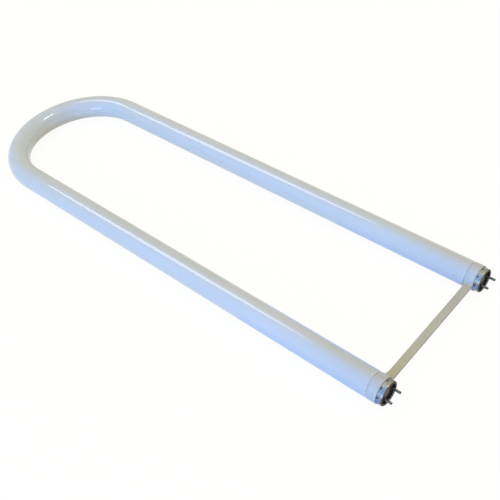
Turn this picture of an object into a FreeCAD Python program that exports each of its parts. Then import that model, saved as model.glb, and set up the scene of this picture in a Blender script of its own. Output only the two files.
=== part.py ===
import FreeCAD, Part
import math
import os

from FreeCAD import Vector

# U shaped fluorescent lamp: one bent glass tube, a pressed metal cap with two contact
# pins on the end of each leg, and a moulded brace that holds the legs apart.
#
# Millimetres. The lamp lies on its tube. X runs along the legs towards the caps, Y goes
# across them from the right leg to the left one, and Z is up. The origin is under the
# middle of the whole lamp, pins included, on the surface that it lies on.
#
# Along a leg every place is worked out back from the rim of its cap.

# Glass tube
TUBE_DIAMETER = 25.4
LEG_SPACING = 152.4            # between the centre lines of the two legs
BEND_TO_RIM = 567.9            # outside of the bend to the rims of the caps
NECK_STEP = 1.7                # drop in radius where the cap goes over the glass
NECK_LENGTH = 2.4              # length of the drawn shoulder
STEM_DEPTH = 24.0              # glass end back to the press where the leads come out
STEM_MOUTH_DIAMETER = 15.2
STEM_THROAT_DIAMETER = 10.4
EXHAUST_DIAMETER = 4.2         # pump stalk in the middle of the stem
EXHAUST_PROUD = 1.2            # its sealed tip past the glass end

# Basing cement between glass and cap
CEMENT_THICKNESS = 0.3
CEMENT_LENGTH = 5.5
CEMENT_INSET = 0.8             # from the open edge of the cap

# Drawn metal cap
SHELL_WALL = 0.35
SHELL_CORNER = 1.0             # outer radius where the side turns into the rim
LIP_CORNER = 0.6               # outer radius at the inner edge of the turned-in rim
CORNER_LIMIT = 0.48            # most of the rim's width that one of its corners may take
RIM_DEPTH = 2.6                # rim down to the face of the insulator
DENT_COUNT = 8                 # pressed dents that lock the insulator from behind
DENT_DEPTH = 0.4
DENT_HALF_WIDTH = 0.9          # along the leg
DENT_SPREAD = 1.4              # straight part of a dent, around the cap
DENT_START = {"left": 36.0, "right": 27.0}   # degrees from +Y towards +Z

# Insulator that carries the pins
INSULATOR_THICKNESS = 1.0
INSULATOR_CLEARANCE = 0.1      # round its edge, inside the cap
INSULATOR_EDGE = 0.25          # chamfer

# Contact pins
PIN_SPACING = 12.7
PIN_DIAMETER = 2.36
PIN_REACH = 6.9                # past the rim
PIN_BORE = 1.5
PIN_NOSE = 0.8                 # radius of the rounded end
PIN_SHOULDER_DIAMETER = 2.8
PIN_SHOULDER_PROUD = 0.3       # past the face of the insulator
PIN_FLANGE_DIAMETER = 3.8
PIN_FLANGE_THICKNESS = 0.5
PIN_FIT = 0.02                 # around the shoulder, in the insulator

# Lead wires from the press to the tips of the pins
LEAD_DIAMETER = 0.6
LEAD_SPACING_AT_PRESS = 7.0
LEAD_FIT = 0.02                # around the wire, in the nose of the pin
LEAD_BEND_SHARE = 0.45         # part of the slanted run that each bend may take

# Moulded brace
COLLAR_WIDTH = 8.9
COLLAR_WALL = 0.9
COLLAR_FIT = 0.05              # around the cap, inside the collar
COLLAR_TO_DENTS = 0.1
COLLAR_EDGE = 0.3              # chamfer
CAP_COVER = 0.6                # collar past the open edge of the cap
BAR_WIDTH = 7.3
BAR_THICKNESS = 2.4
BAR_EDGE = 0.4                 # rounding along the bar
FLARE_LENGTH = 8.0             # where the bar widens into the collar
FLARE_DEPTH = 1.6

# Room between pieces inside the cap
END_ROOM = 3.0                 # glass end to the back of the insulator
SHOULDER_ROOM = 0.1            # neck to the back edge of the collar

# Radii
TUBE_R = TUBE_DIAMETER / 2
NECK_R = TUBE_R - NECK_STEP
SHELL_INNER_R = NECK_R + CEMENT_THICKNESS
SHELL_R = SHELL_INNER_R + SHELL_WALL
PIN_OUTSIDE_R = PIN_SPACING / 2 + PIN_SHOULDER_DIAMETER / 2
LIP_R = (SHELL_INNER_R + PIN_OUTSIDE_R) / 2      # halfway from the wall to the pin shoulders
RIM_WIDTH = SHELL_R - LIP_R
COLLAR_INNER_R = SHELL_R + COLLAR_FIT
COLLAR_R = COLLAR_INNER_R + COLLAR_WALL
PIN_R = PIN_DIAMETER / 2
LEAD_R = LEAD_DIAMETER / 2

# Places along X
BEND_R = LEG_SPACING / 2
LAMP_LENGTH = BEND_TO_RIM + PIN_REACH
BEND_X = -LAMP_LENGTH / 2 + BEND_R + TUBE_R
PIN_TIP_X = LAMP_LENGTH / 2
RIM_X = PIN_TIP_X - PIN_REACH
INSULATOR_FACE_X = RIM_X - RIM_DEPTH
INSULATOR_BACK_X = INSULATOR_FACE_X - INSULATOR_THICKNESS
PIN_BACK_X = INSULATOR_BACK_X - PIN_FLANGE_THICKNESS
DENT_X = INSULATOR_BACK_X - DENT_HALF_WIDTH
COLLAR_FRONT_X = DENT_X - DENT_HALF_WIDTH - COLLAR_TO_DENTS
COLLAR_BACK_X = COLLAR_FRONT_X - COLLAR_WIDTH
SHELL_BACK_X = COLLAR_BACK_X + CAP_COVER
CEMENT_BACK_X = SHELL_BACK_X + CEMENT_INSET
NECK_X = COLLAR_BACK_X - SHOULDER_ROOM
SHOULDER_X = NECK_X - NECK_LENGTH
GLASS_END_X = INSULATOR_BACK_X - END_ROOM
PRESS_X = GLASS_END_X - STEM_DEPTH

# The lamp touches the surface with its tube, or with the collars if they are thicker.
AXIS_Z = max(TUBE_R, COLLAR_R)
LEG_Y = {"left": LEG_SPACING / 2, "right": -LEG_SPACING / 2}
X_AXIS = Vector(1, 0, 0)
Z_AXIS = Vector(0, 0, 1)


def drawn_face(place, start, *steps):
    """Face inside an outline. A step is the end of a line, or the middle and end of an arc."""
    edges = []
    here = start
    for step in steps + (start,):
        if isinstance(step[0], tuple):
            middle, end = step
            edges.append(Part.Arc(place(*here), place(*middle), place(*end)).toShape())
        else:
            end = step
            edges.append(Part.LineSegment(place(*here), place(*end)).toShape())
        here = end
    return Part.Face(Part.Wire(edges))


def turned(axis_y, start, *steps):
    """Solid turned round an axis along X from an outline of (x, radius) points."""
    def place(x, radius):
        return Vector(x, axis_y, AXIS_Z + radius)
    face = drawn_face(place, start, *steps)
    return face.revolve(Vector(0, axis_y, AXIS_Z), X_AXIS, 360)


def rounded(corner_x, corner_r, radius, x_side, r_side):
    """Middle point of the quarter circle that rounds a square corner.

    x_side and r_side are +1 or -1 and point from the corner to the centre of the arc.
    """
    reach = radius * (1 - math.sqrt(0.5))
    return corner_x + x_side * reach, corner_r + r_side * reach


def rod(radius, length, start, direction):
    return Part.makeCylinder(radius, length, start, direction)


def joined(first, *others):
    """One solid from touching solids, with the seams between like faces removed."""
    shape = first.multiFuse(list(others)).removeSplitter()
    return shape.Solids[0] if len(shape.Solids) == 1 else shape


def glass_leg(leg_y):
    """Straight leg with its drawn shoulder, neck, and the flared stem sealed into its end."""
    # The shoulder is two equal arcs that meet in the middle.
    middle_x = (SHOULDER_X + NECK_X) / 2
    middle_r = TUBE_R - NECK_STEP / 2
    half_turn = math.atan2(NECK_STEP, NECK_LENGTH)
    bend = NECK_LENGTH / 2 / math.sin(2 * half_turn)
    outer_mid = (SHOULDER_X + bend * math.sin(half_turn), TUBE_R - bend * (1 - math.cos(half_turn)))
    inner_mid = (NECK_X - bend * math.sin(half_turn), NECK_R + bend * (1 - math.cos(half_turn)))

    # The glass end is a full round between the neck and the mouth of the stem.
    mouth_r = STEM_MOUTH_DIAMETER / 2
    end_round = (NECK_R - mouth_r) / 2
    exhaust_r = EXHAUST_DIAMETER / 2
    tip_x = GLASS_END_X + EXHAUST_PROUD
    tip_round = rounded(tip_x, exhaust_r, exhaust_r, -1, -1)
    return turned(
        leg_y,
        (BEND_X, 0),
        (BEND_X, TUBE_R),
        (SHOULDER_X, TUBE_R),
        (outer_mid, (middle_x, middle_r)),
        (inner_mid, (NECK_X, NECK_R)),
        (GLASS_END_X - end_round, NECK_R),
        ((GLASS_END_X, NECK_R - end_round), (GLASS_END_X - end_round, mouth_r)),
        (PRESS_X, STEM_THROAT_DIAMETER / 2),
        (PRESS_X, exhaust_r),
        (tip_x - exhaust_r, exhaust_r),
        (tip_round, (tip_x, 0)),
    )


def glass_tube():
    """The sealed discharge tube: two legs joined by a half-circle bend of the same tube."""
    section = Part.Face(Part.Wire(Part.makeCircle(
        TUBE_R, Vector(BEND_X, LEG_Y["left"], AXIS_Z), X_AXIS)))
    bend = section.revolve(Vector(BEND_X, 0, AXIS_Z), Z_AXIS, 180)
    return joined(bend, glass_leg(LEG_Y["left"]), glass_leg(LEG_Y["right"]))


def cement(leg_y):
    """Ring of basing cement that fills the gap between the glass neck and the cap."""
    front_x = CEMENT_BACK_X + CEMENT_LENGTH
    return turned(
        leg_y,
        (CEMENT_BACK_X, NECK_R),
        (front_x, NECK_R),
        (front_x, SHELL_INNER_R),
        (CEMENT_BACK_X, SHELL_INNER_R),
    )


def dent_form(leg_y, angle, wall):
    """Bar with round ends that lies across the leg: the hollow of a dent, grown by a wall."""
    dent_r = (DENT_HALF_WIDTH ** 2 + DENT_DEPTH ** 2) / (2 * DENT_DEPTH)
    distance = SHELL_R + dent_r - DENT_DEPTH
    outward = Vector(0, math.cos(angle), math.sin(angle))
    around = Vector(0, -math.sin(angle), math.cos(angle))
    middle = Vector(DENT_X, leg_y, AXIS_Z) + outward * distance
    first = middle - around * (DENT_SPREAD / 2)
    last = middle + around * (DENT_SPREAD / 2)
    return joined(
        rod(dent_r + wall, DENT_SPREAD, first, around),
        Part.makeSphere(dent_r + wall, first),
        Part.makeSphere(dent_r + wall, last),
    )


def cap_shell(side):
    """Drawn cup with its rim turned in over the insulator and dents pressed in behind it."""
    leg_y = LEG_Y[side]
    corner = min(SHELL_CORNER, CORNER_LIMIT * RIM_WIDTH)
    lip_corner = min(LIP_CORNER, CORNER_LIMIT * RIM_WIDTH)
    inner_corner = corner - SHELL_WALL
    lip_inner_corner = lip_corner - SHELL_WALL
    inside_x = RIM_X - SHELL_WALL
    lip_back_r = LIP_R + SHELL_WALL
    shell = turned(
        leg_y,
        (SHELL_BACK_X, SHELL_INNER_R),
        (SHELL_BACK_X, SHELL_R),
        (RIM_X - corner, SHELL_R),
        (rounded(RIM_X, SHELL_R, corner, -1, -1), (RIM_X, SHELL_R - corner)),
        (RIM_X, LIP_R + lip_corner),
        (rounded(RIM_X, LIP_R, lip_corner, -1, 1), (RIM_X - lip_corner, LIP_R)),
        (INSULATOR_FACE_X, LIP_R),
        (INSULATOR_FACE_X, lip_back_r),
        (inside_x - lip_inner_corner, lip_back_r),
        (rounded(inside_x, lip_back_r, lip_inner_corner, -1, 1),
         (inside_x, lip_back_r + lip_inner_corner)),
        (inside_x, SHELL_INNER_R - inner_corner),
        (rounded(inside_x, SHELL_INNER_R, inner_corner, -1, -1),
         (inside_x - inner_corner, SHELL_INNER_R)),
    )
    side_wall = rod(SHELL_R, RIM_X - SHELL_BACK_X, Vector(SHELL_BACK_X, leg_y, AXIS_Z), X_AXIS)
    start = math.radians(DENT_START[side])
    for number in range(DENT_COUNT):
        angle = start + number * 2 * math.pi / DENT_COUNT
        hollow = dent_form(leg_y, angle, 0)
        cup = dent_form(leg_y, angle, SHELL_WALL).common(side_wall)
        shell = shell.fuse(cup).cut(hollow)
    return shell.removeSplitter().Solids[0]


def insulator(leg_y):
    """Moulded disc with a hole for each pin, held between the turned-in rim and the dents."""
    disc_r = SHELL_INNER_R - INSULATOR_CLEARANCE
    disc = turned(
        leg_y,
        (INSULATOR_BACK_X, 0),
        (INSULATOR_BACK_X, disc_r - INSULATOR_EDGE),
        (INSULATOR_BACK_X + INSULATOR_EDGE, disc_r),
        (INSULATOR_FACE_X - INSULATOR_EDGE, disc_r),
        (INSULATOR_FACE_X, disc_r - INSULATOR_EDGE),
        (INSULATOR_FACE_X, 0),
    )
    for pin_y in (leg_y - PIN_SPACING / 2, leg_y + PIN_SPACING / 2):
        hole_r = PIN_SHOULDER_DIAMETER / 2 + PIN_FIT
        hole_start = Vector(INSULATOR_BACK_X, pin_y, AXIS_Z)
        disc = disc.cut(rod(hole_r, INSULATOR_THICKNESS, hole_start, X_AXIS))
    return disc


def contact_pin(pin_y):
    """Hollow pin, open at the back, with a flange behind the insulator and a rounded nose."""
    flange_r = PIN_FLANGE_DIAMETER / 2
    shoulder_r = PIN_SHOULDER_DIAMETER / 2
    shoulder_x = INSULATOR_FACE_X + PIN_SHOULDER_PROUD
    bore_r = PIN_BORE / 2
    nose_hole_r = LEAD_R + LEAD_FIT
    return turned(
        pin_y,
        (PIN_BACK_X, bore_r),
        (PIN_BACK_X, flange_r),
        (INSULATOR_BACK_X, flange_r),
        (INSULATOR_BACK_X, shoulder_r),
        (shoulder_x, shoulder_r),
        (shoulder_x, PIN_R),
        (PIN_TIP_X - PIN_NOSE, PIN_R),
        (rounded(PIN_TIP_X, PIN_R, PIN_NOSE, -1, -1), (PIN_TIP_X, PIN_R - PIN_NOSE)),
        (PIN_TIP_X, nose_hole_r),
        (PIN_TIP_X - PIN_NOSE, nose_hole_r),
        (PIN_TIP_X - PIN_NOSE, bore_r),
    )


def lead_wire(leg_y, y_side):
    """Wire from the press, out to its pin on a slant and on to its tip. y_side is +1 or -1."""
    press_y = leg_y + y_side * LEAD_SPACING_AT_PRESS / 2
    pin_y = leg_y + y_side * PIN_SPACING / 2
    slant_start = Vector(GLASS_END_X - END_ROOM, press_y, AXIS_Z)
    slant_end = Vector(PIN_BACK_X, pin_y, AXIS_Z)
    slant = slant_end - slant_start
    cut_back = LEAD_BEND_SHARE * slant.Length
    direction = Vector(slant).normalize()
    turn = math.atan2(abs(slant.y), slant.x)

    def bend_edge(corner, into, out_of):
        """Arc that rounds a corner of the route between two directions."""
        first = corner - into * cut_back
        last = corner + out_of * cut_back
        chord_middle = (first + last) * 0.5
        inward = Vector(chord_middle - corner).normalize()
        height = (last - first).Length / 2 * math.tan(turn / 4)
        return Part.Arc(first, chord_middle - inward * height, last).toShape(), first, last

    start = Vector(PRESS_X, press_y, AXIS_Z)
    end = Vector(PIN_TIP_X, pin_y, AXIS_Z)
    first_bend, first_in, first_out = bend_edge(slant_start, X_AXIS, direction)
    last_bend, last_in, last_out = bend_edge(slant_end, direction, X_AXIS)
    route = Part.Wire([
        Part.LineSegment(start, first_in).toShape(),
        first_bend,
        Part.LineSegment(first_out, last_in).toShape(),
        last_bend,
        Part.LineSegment(last_out, end).toShape(),
    ])
    section = Part.Wire(Part.makeCircle(LEAD_R, start, X_AXIS))
    return route.makePipeShell([section], True, False).Solids[0]


def collar(leg_y):
    """Ring of the brace that sits round the back of a cap."""
    return turned(
        leg_y,
        (COLLAR_BACK_X, COLLAR_INNER_R),
        (COLLAR_BACK_X, COLLAR_R - COLLAR_EDGE),
        (COLLAR_BACK_X + COLLAR_EDGE, COLLAR_R),
        (COLLAR_FRONT_X - COLLAR_EDGE, COLLAR_R),
        (COLLAR_FRONT_X, COLLAR_R - COLLAR_EDGE),
        (COLLAR_FRONT_X, COLLAR_INNER_R),
    )


def brace_bar():
    """Flat bar between the collars, flush with their front edges and flared at its back."""
    end_y = BEND_R - COLLAR_INNER_R
    flare_y = BEND_R - COLLAR_R
    neck_y = flare_y - FLARE_LENGTH
    back_x = COLLAR_FRONT_X - BAR_WIDTH
    wide_x = back_x - FLARE_DEPTH
    # The flare is an arc that leaves the straight edge of the bar along it.
    flare_r = (FLARE_LENGTH ** 2 + FLARE_DEPTH ** 2) / (2 * FLARE_DEPTH)
    half_turn = math.asin(FLARE_LENGTH / flare_r) / 2
    mid_x = back_x - flare_r * (1 - math.cos(half_turn))
    mid_y = neck_y + flare_r * math.sin(half_turn)

    def place(x, y):
        return Vector(x, y, AXIS_Z - BAR_THICKNESS / 2)
    face = drawn_face(
        place,
        (COLLAR_FRONT_X, -end_y),
        (COLLAR_FRONT_X, end_y),
        (wide_x, end_y),
        (wide_x, flare_y),
        ((mid_x, mid_y), (back_x, neck_y)),
        (back_x, -neck_y),
        ((mid_x, -mid_y), (wide_x, -flare_y)),
        (wide_x, -end_y),
    )
    bar = face.extrude(Z_AXIS * BAR_THICKNESS)
    long_edges = [edge for edge in bar.Edges if edge.BoundBox.ZLength < 1e-6
                  and edge.BoundBox.YLength > FLARE_LENGTH / 2]
    return bar.makeFillet(BAR_EDGE, long_edges)


def spacer_brace():
    """The moulded brace: a collar round each cap and the bar between them, in one piece."""
    brace = joined(collar(LEG_Y["left"]), collar(LEG_Y["right"]), brace_bar())
    for leg_y in LEG_Y.values():
        bore = rod(COLLAR_INNER_R, COLLAR_WIDTH, Vector(COLLAR_BACK_X, leg_y, AXIS_Z), X_AXIS)
        brace = brace.cut(bore)
    return brace.removeSplitter().Solids[0]


def build():
    """Every piece of the lamp by name."""
    pieces = {"glass_tube": glass_tube(), "spacer_brace": spacer_brace()}
    for side, leg_y in LEG_Y.items():
        outward = 1 if leg_y > 0 else -1
        pieces[side + "_cap_shell"] = cap_shell(side)
        pieces[side + "_insulator"] = insulator(leg_y)
        pieces[side + "_cement_ring"] = cement(leg_y)
        for place, direction in (("outer", outward), ("inner", -outward)):
            pin_y = leg_y + direction * PIN_SPACING / 2
            pieces[side + "_" + place + "_pin"] = contact_pin(pin_y)
            pieces[side + "_" + place + "_lead"] = lead_wire(leg_y, direction)
    return pieces


os.makedirs("parts", exist_ok=True)
for name, piece in build().items():
    piece.exportStep(os.path.join("parts", name + ".step"))
    print(name, "solids", len(piece.Solids), "valid", piece.isValid(), "mm3", round(piece.Volume, 2))
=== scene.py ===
# %% [markdown]
# A U shaped fluorescent lamp: one bent glass tube, a metal cap with two pins on the end of
# each leg, and a cream brace that holds the legs apart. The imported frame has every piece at
# its true size and place. This lesson gives each of them its finish, and models again the
# ones whose look needs a finer surface than a construction model has.

import math

import bmesh
import bpy
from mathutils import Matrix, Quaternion, Vector


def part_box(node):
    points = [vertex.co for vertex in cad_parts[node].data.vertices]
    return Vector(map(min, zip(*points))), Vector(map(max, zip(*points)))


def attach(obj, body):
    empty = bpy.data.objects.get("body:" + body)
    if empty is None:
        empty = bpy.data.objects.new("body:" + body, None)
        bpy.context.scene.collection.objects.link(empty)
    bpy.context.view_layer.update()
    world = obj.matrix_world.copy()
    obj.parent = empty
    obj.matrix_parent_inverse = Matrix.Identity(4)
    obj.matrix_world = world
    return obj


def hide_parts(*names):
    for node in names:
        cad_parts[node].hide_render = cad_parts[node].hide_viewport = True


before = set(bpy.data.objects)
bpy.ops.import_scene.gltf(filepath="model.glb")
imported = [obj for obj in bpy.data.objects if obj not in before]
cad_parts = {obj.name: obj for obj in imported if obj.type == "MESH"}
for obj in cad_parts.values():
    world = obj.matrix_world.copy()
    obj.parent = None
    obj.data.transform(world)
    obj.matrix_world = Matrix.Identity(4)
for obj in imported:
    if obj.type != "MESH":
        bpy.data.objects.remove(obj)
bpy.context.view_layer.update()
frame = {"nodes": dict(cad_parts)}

# %% [markdown]
# Nothing is placed by eye here. The boxes of the frame's nodes give the radius of the tube,
# the distance between the legs and where each cap begins and ends, so the new pieces land
# exactly on the old ones. Lengths are in metres, and MM turns millimetres into them.

# %% Measure the frame
MM = 0.001

tube_low, tube_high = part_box("glass_tube")
shell_low, shell_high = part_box("left_cap_shell")
brace_low, brace_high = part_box("spacer_brace")
insulator_low, insulator_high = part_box("left_insulator")

TUBE_R = (tube_high.z - tube_low.z) / 2
AXIS_Z = (tube_high.z + tube_low.z) / 2
LEG_Y = tube_high.y - TUBE_R
BEND_X = tube_low.x + LEG_Y + TUBE_R
SHELL_R = (shell_high.z - shell_low.z) / 2
SHELL_BACK_X = shell_low.x
RIM_X = shell_high.x
COLLAR_R = (brace_high.z - brace_low.z) / 2
COLLAR_BACK_X = brace_low.x
COLLAR_FRONT_X = brace_high.x
FACE_X = insulator_high.x
INSULATOR_BACK_X = insulator_low.x
LEGS = {"left": LEG_Y, "right": -LEG_Y}
print("tube radius", round(TUBE_R / MM, 2), "legs at", round(LEG_Y / MM, 2))
print("bend centre", round(BEND_X / MM, 2), "rim", round(RIM_X / MM, 2))

# %% [markdown]
# The photograph was taken from above the caps, a little in front of the lamp. A camera is
# aimed best by the direction that it looks in, so the yaw and the pitch make that direction,
# and a roll about it tips the frame to one side. The lens is a little long, which keeps the
# two legs nearly parallel.

# %% Camera
CAMERA_PLACE = Vector((0.46792, -0.38242, 0.53959))
CAMERA_YAW = math.radians(136.84)
CAMERA_PITCH = math.radians(-44.71)
CAMERA_ROLL = math.radians(-8.01)
LENS_MM = 55.01
SENSOR_MM = 36.0

camera_data = bpy.data.cameras.new("camera")
camera_data.lens = LENS_MM
camera_data.sensor_width = SENSOR_MM
camera = bpy.data.objects.new("camera", camera_data)
bpy.context.scene.collection.objects.link(camera)
looking = Vector((
    math.cos(CAMERA_PITCH) * math.cos(CAMERA_YAW),
    math.cos(CAMERA_PITCH) * math.sin(CAMERA_YAW),
    math.sin(CAMERA_PITCH),
))
camera.location = CAMERA_PLACE
camera.rotation_mode = "QUATERNION"
level = looking.to_track_quat("-Z", "Y")
camera.rotation_quaternion = level @ Quaternion((0, 0, 1), CAMERA_ROLL)
bpy.context.scene.camera = camera
bpy.context.scene.view_settings.view_transform = "Standard"
print("camera looks along", [round(v, 3) for v in looking])

# %% [markdown]
# Every material here is a small tree of shader nodes. Writing one by hand takes a line for
# each node and each wire, so two helpers do that: add makes a node and sets its inputs, and
# wire joins two sockets. A value that is the same all over goes straight on the socket.

# %% Helpers for shader nodes
def add(tree, kind, settings=(), **inputs):
    """A node of that kind. Settings are its properties, and inputs are set by socket name."""
    node = tree.nodes.new(kind)
    for key, value in dict(settings).items():
        setattr(node, key, value)
    for name, value in inputs.items():
        socket = node.inputs[name.replace("_", " ")]
        if isinstance(value, bpy.types.NodeSocket):
            tree.links.new(value, socket)
        else:
            socket.default_value = value
    return node


def wire(tree, source, target):
    tree.links.new(source, target)


def new_material(name):
    """An empty material with its output node."""
    material = bpy.data.materials.new(name)
    material.use_nodes = True
    tree = material.node_tree
    tree.nodes.clear()
    return material, tree, tree.nodes.new("ShaderNodeOutputMaterial")


print("node helpers ready")

# %% [markdown]
# Two kinds of step come back in every tree: a sum, whose operands may be numbers or sockets,
# and a blend of two colours by a mask.

# %% Helpers for sums and blends
def math_node(tree, operation, first, second=0.0):
    """One arithmetic step, whose operands are numbers or sockets."""
    node = tree.nodes.new("ShaderNodeMath")
    node.operation = operation
    for socket, value in zip(node.inputs, (first, second)):
        if isinstance(value, bpy.types.NodeSocket):
            tree.links.new(value, socket)
        else:
            socket.default_value = value
    return node.outputs[0]


def mix_colour(tree, factor, first, second):
    """Blend of two colours, each a value or a socket, by a factor socket."""
    node = tree.nodes.new("ShaderNodeMix")
    node.data_type = "RGBA"
    tree.links.new(factor, node.inputs["Factor"])
    for socket, value in zip((node.inputs[6], node.inputs[7]), (first, second)):
        if isinstance(value, bpy.types.NodeSocket):
            tree.links.new(value, socket)
        else:
            socket.default_value = (*value, 1.0)
    return node.outputs[2]


print("sum and blend helpers ready")

# %% [markdown]
# The lamp lies on white paper that fills the picture, and its shadow hardly shows. Paper
# alone would need so much light that the pale tube would burn out. So the floor glows by
# itself for the camera, and for rays that bounce off gloss or pass through glass, and only a
# small share of its brightness comes from the lights. That share is what a shadow can take
# away. All other rays meet a plain pale floor.

# %% Floor
FLOOR_SIDE = 12.0
FLOOR_GLOW = (0.925, 0.925, 0.915)
FLOOR_SHADOW_SHARE = (0.10, 0.10, 0.10)
FLOOR_PAPER = (0.78, 0.69, 0.53)


def seen_directly(tree):
    """1 for camera rays and for rays off gloss or through glass, 0 for all others."""
    path = add(tree, "ShaderNodeLightPath").outputs
    either = math_node(tree, "MAXIMUM", path["Is Camera Ray"], path["Is Glossy Ray"])
    return math_node(tree, "MAXIMUM", either, path["Is Transmission Ray"])


bpy.ops.object.select_all(action="DESELECT")
bpy.ops.mesh.primitive_plane_add(size=FLOOR_SIDE, location=(0, 0, 0))
floor = bpy.context.object
floor.name = "floor"

material, tree, output = new_material("paper_floor")
paper = add(tree, "ShaderNodeBsdfDiffuse", Color=(*FLOOR_PAPER, 1))
glow = add(tree, "ShaderNodeEmission", Color=(*FLOOR_GLOW, 1), Strength=1.0)
shaded = add(tree, "ShaderNodeBsdfDiffuse", Color=(*FLOOR_SHADOW_SHARE, 1))
bright = tree.nodes.new("ShaderNodeAddShader")
wire(tree, glow.outputs[0], bright.inputs[0])
wire(tree, shaded.outputs[0], bright.inputs[1])
choice = tree.nodes.new("ShaderNodeMixShader")
wire(tree, seen_directly(tree), choice.inputs[0])
wire(tree, paper.outputs[0], choice.inputs[1])
wire(tree, bright.outputs[0], choice.inputs[2])
wire(tree, choice.outputs[0], output.inputs["Surface"])
floor.data.materials.append(material)
print("floor", FLOOR_SIDE, "m")

# %% [markdown]
# The photograph has three kinds of light. A warm, even room light falls from all round. A
# bright panel hangs past the bend and makes the thin white line along the top of the tube.
# A strong blue light, like a window under a clear sky, comes in low from the near side and
# turns that side of the glass blue. The world gives the first one.

# %% Room light
ROOM_LOW = (0.83, 0.75, 0.59)
ROOM_HIGH = (0.82, 0.73, 0.57)
BACKDROP_LOW = (0.80, 0.80, 0.79)
BACKDROP_HIGH = (0.93, 0.94, 0.95)

world = bpy.data.worlds.new("studio")
bpy.context.scene.world = world
world.use_nodes = True
tree = world.node_tree
tree.nodes.clear()
output = tree.nodes.new("ShaderNodeOutputWorld")
place = add(tree, "ShaderNodeTexCoord")
height = add(tree, "ShaderNodeSeparateXYZ", Vector=place.outputs["Generated"])
rise = math_node(tree, "MAXIMUM", height.outputs["Z"], 0.0)
backdrop = mix_colour(tree, rise, BACKDROP_LOW, BACKDROP_HIGH)
room = mix_colour(tree, rise, ROOM_LOW, ROOM_HIGH)
colour = mix_colour(tree, seen_directly(tree), room, backdrop)
background = add(tree, "ShaderNodeBackground", Color=colour, Strength=1.0)
wire(tree, background.outputs[0], output.inputs["Surface"])
print("room light from", ROOM_LOW, "to", ROOM_HIGH)

# %% [markdown]
# An area light is a panel: the wider it is, the softer the edge of the light on a curved
# surface. The photograph shows the panels in two ways. The blue window lights the near side
# of the glass but isn't mirrored in it, and the bright panels are mirrored as thin white
# lines but add little light. So each panel is seen either by the soft part of a surface or
# by its gloss, which a studio does with screens and grids. The window stands 4.6 m away, so
# both legs get nearly the same of it, and a weak one stands on the far side. The large panel
# overhead is an oval, and its narrow ends let the white line fade out towards the caps.

# %% Light panels
LAMP_MIDDLE = Vector((0.0, 0.0, AXIS_Z))


def light_panel(
    name, place, size, colour, watts, mirrored, shape="RECTANGLE", target=LAMP_MIDDLE, spin=0.0,
):
    """A flat light that faces the target. mirrored says if gloss alone sees it."""
    data = bpy.data.lights.new(name, "AREA")
    data.shape = shape
    data.size, data.size_y = size
    data.color = colour
    data.energy = watts
    panel = bpy.data.objects.new(name, data)
    bpy.context.scene.collection.objects.link(panel)
    aim = (target - Vector(place)).to_track_quat("-Z", "Y")
    panel.location = place
    panel.rotation_mode = "QUATERNION"
    panel.rotation_quaternion = aim @ Quaternion((0, 0, 1), spin)
    panel.visible_camera = False
    panel.visible_glossy = mirrored
    panel.visible_diffuse = not mirrored
    print(name, "at", [round(v, 2) for v in place], "watts", watts)
    return panel


light_panel("window", (0.20, -4.60, 1.25), (3.0, 1.2), (0.0, 0.32, 1.0), 136.0, False)
light_panel("window_by_caps", (1.20, -1.90, 0.45), (0.8, 0.4), (0.0, 0.42, 1.0), 7.0, False)
light_panel("back_panel", (-0.30, 2.60, 0.60), (1.8, 0.7), (0.10, 0.45, 1.0), 9.0, False)
light_panel("low_lamp", (0.32, -2.00, 0.42), (0.80, 0.50), (0.85, 0.92, 1.0), 6.0, True)
light_panel(
    "top_panel", (-1.50, -0.16, 2.0), (1.75, 0.78), (0.93, 0.95, 1.0), 16.5, True,
    shape="ELLIPSE", target=Vector((-1.50, -0.16, 0.0)), spin=math.radians(26),
)
light_panel(
    "small_panel", (0.56, 0.80, 2.0), (0.26, 0.62), (1.0, 1.0, 1.0), 10.0, True,
    target=Vector((0.56, 0.80, 0.0)),
)

# %% [markdown]
# Metal has no look of its own: it shows what is round it. On a white floor under a white
# backdrop it would be plain white, so photographers stand cards beside it. Blue ones stand
# on the window's side, hang over it and lie on the floor beside the caps: they are the sky
# in the metal and the blue sheen on the glass. One more stands past the caps and one lies
# in front of them, both a dull grey, so the rims don't turn white. The cards glow with their
# colour for glossy rays alone, so nothing else sees them.

# %% Cards for the metal
def card(name, colour, size, place, turn):
    """A flat board with a glow that gloss alone sees."""
    bpy.ops.object.select_all(action="DESELECT")
    bpy.ops.mesh.primitive_plane_add(size=1, location=place, rotation=turn)
    board = bpy.context.object
    board.name = name
    board.scale = (*size, 1)
    material, tree, output = new_material(name)
    shine = add(tree, "ShaderNodeEmission", Color=(*colour, 1), Strength=1.0)
    wire(tree, shine.outputs[0], output.inputs["Surface"])
    board.data.materials.append(material)
    for kind in ("camera", "diffuse", "transmission", "volume_scatter", "shadow"):
        setattr(board, "visible_" + kind, False)
    print(name, "at", place)


FLAT = (0, 0, 0)
SLOPED = (math.radians(18), 0, 0)
UPRIGHT_Y = (math.pi / 2, 0, 0)
UPRIGHT_X = (math.pi / 2, 0, math.pi / 2)
CARD_Z = 0.6 * MM
card("blue_card", (0.55, 0.98, 2.20), (5.0, 2.2), (-0.2, -2.6, 1.1), UPRIGHT_Y)
card("blue_card_overhead", (0.55, 0.96, 2.15), (5.0, 2.7), (-0.2, -1.35, 2.6), SLOPED)
card("blue_card_near_leg", (0.44, 0.70, 1.70), (0.16, 0.50), (0.20, -0.338, CARD_Z), FLAT)
card("blue_card_far_leg", (0.44, 0.70, 1.70), (0.16, 0.11), (0.20, 0.009, CARD_Z), FLAT)
card("grey_card", (0.30, 0.29, 0.24), (3.0, 2.0), (1.6, 0.2, 1.0), UPRIGHT_X)
card("grey_card_by_caps", (0.20, 0.185, 0.15), (0.50, 0.70), (0.531, 0.0, CARD_Z), FLAT)

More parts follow.
